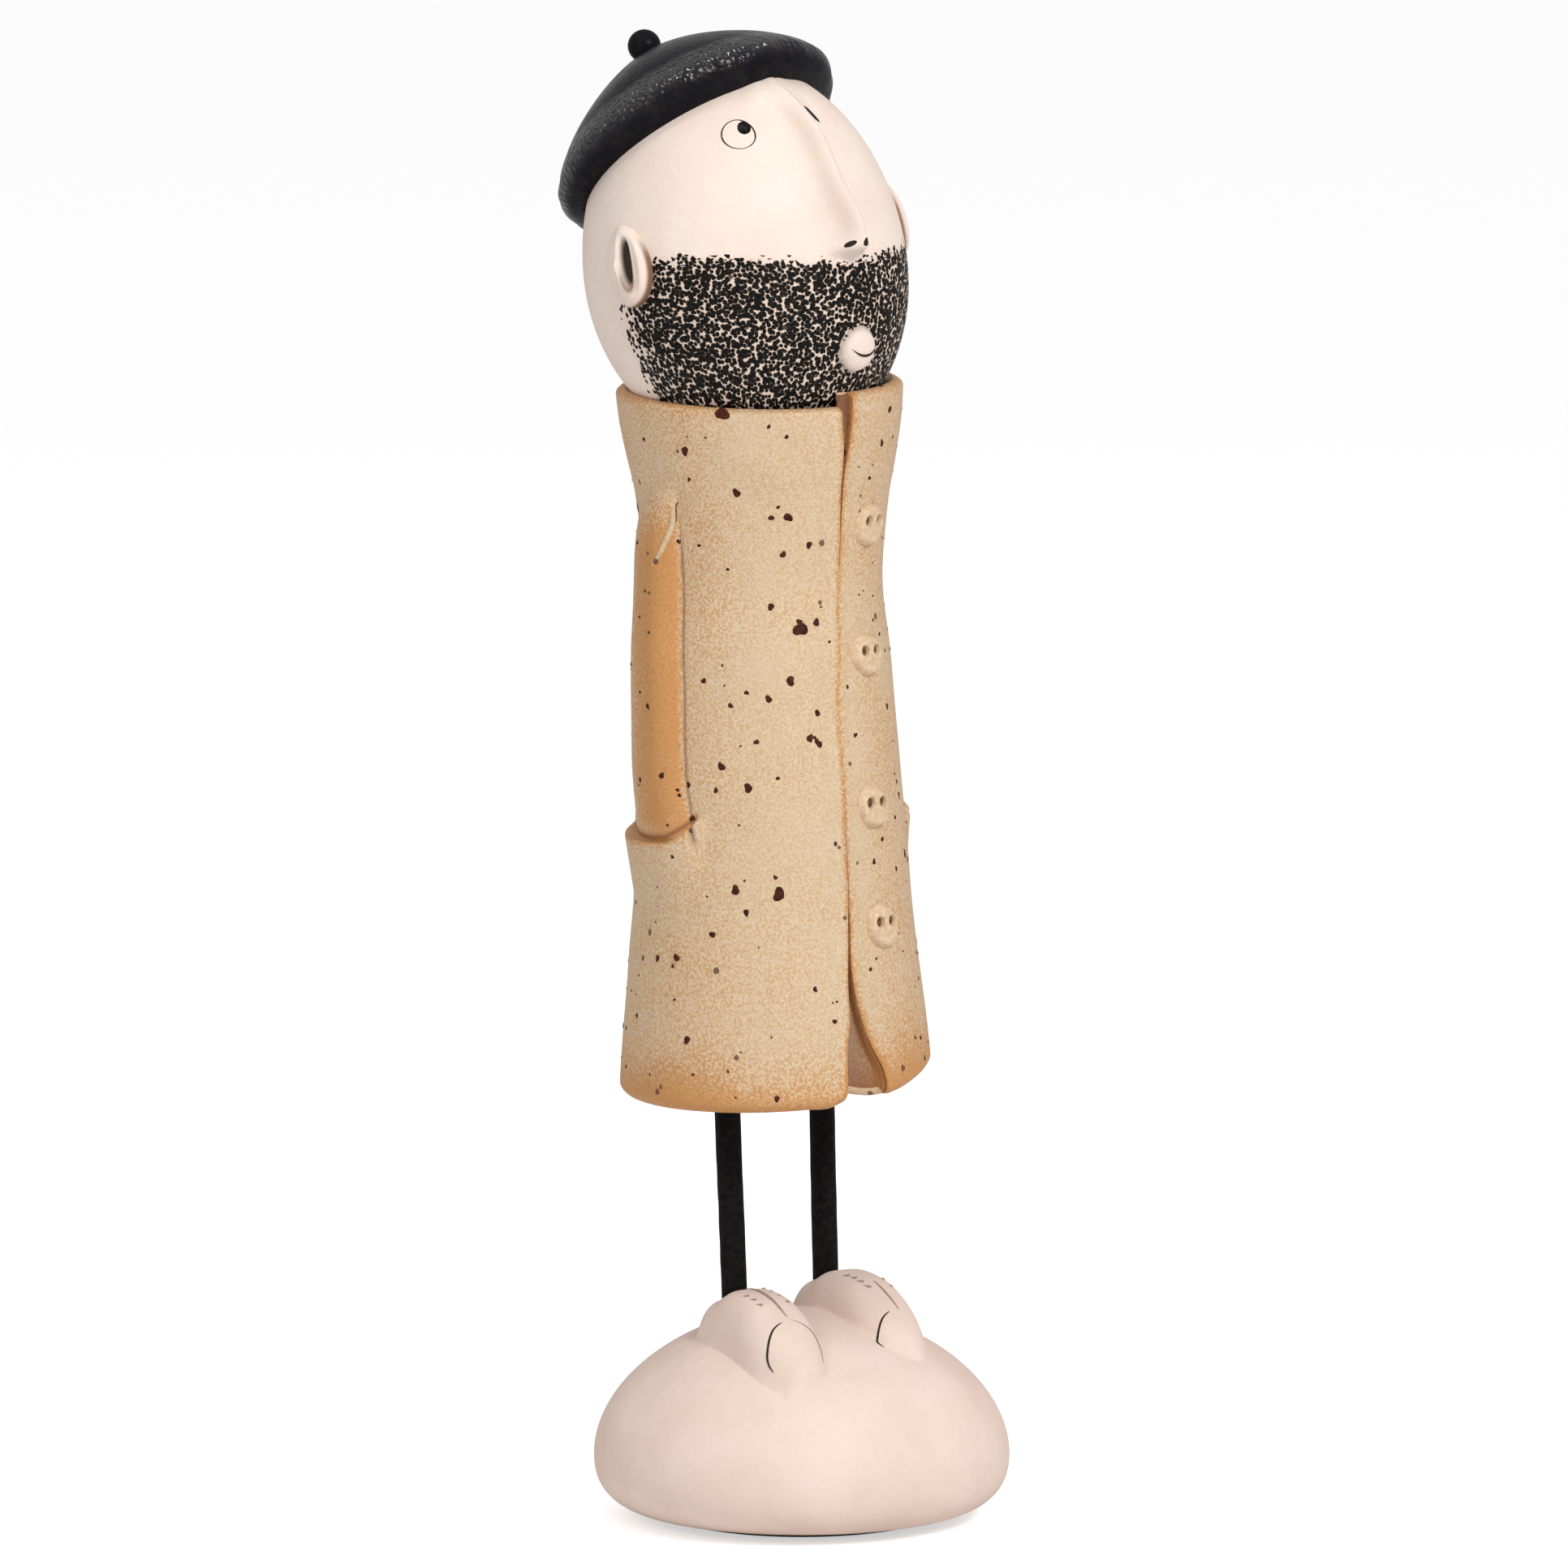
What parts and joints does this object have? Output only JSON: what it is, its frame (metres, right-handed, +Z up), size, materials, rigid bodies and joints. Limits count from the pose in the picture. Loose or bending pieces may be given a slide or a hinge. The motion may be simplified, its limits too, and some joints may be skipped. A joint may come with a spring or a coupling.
{
  "type": "ceramic man figurine",
  "caption": "Standing bearded man in a long buttoned coat and tilted beret, fired clay on thin metal legs over a domed mound, for display on a shelf.",
  "frame": {"origin": "centre of the felt disc's underside, on the surface the figure stands on", "axes": "+Z up, the figure faces -Y, +X towards the figure's own left"},
  "size_m": [0.1032, 0.1154, 0.3679],
  "materials": {
    "dark_felt": "dark felt",
    "pale_clay": "dry pinkish off-white clay with fine pinholes",
    "coat_clay": "satin speckled buff glaze with iron spots, orange where it breaks over edges",
    "button_clay": "dry pale clay",
    "black_glaze": "hammered black gloss glaze with a faint metallic bloom",
    "black_metal": "matte black"
  },
  "bodies": {
    "root": {"felt_disc": "dark_felt", "base": "pale_clay", "leg_right": "black_metal", "leg_left": "black_metal", "coat": "coat_clay", "button_1": "button_clay", "button_2": "button_clay", "button_3": "button_clay", "button_4": "button_clay", "head": "pale_clay", "beret": "black_glaze"}
  },
  "joints": []
}
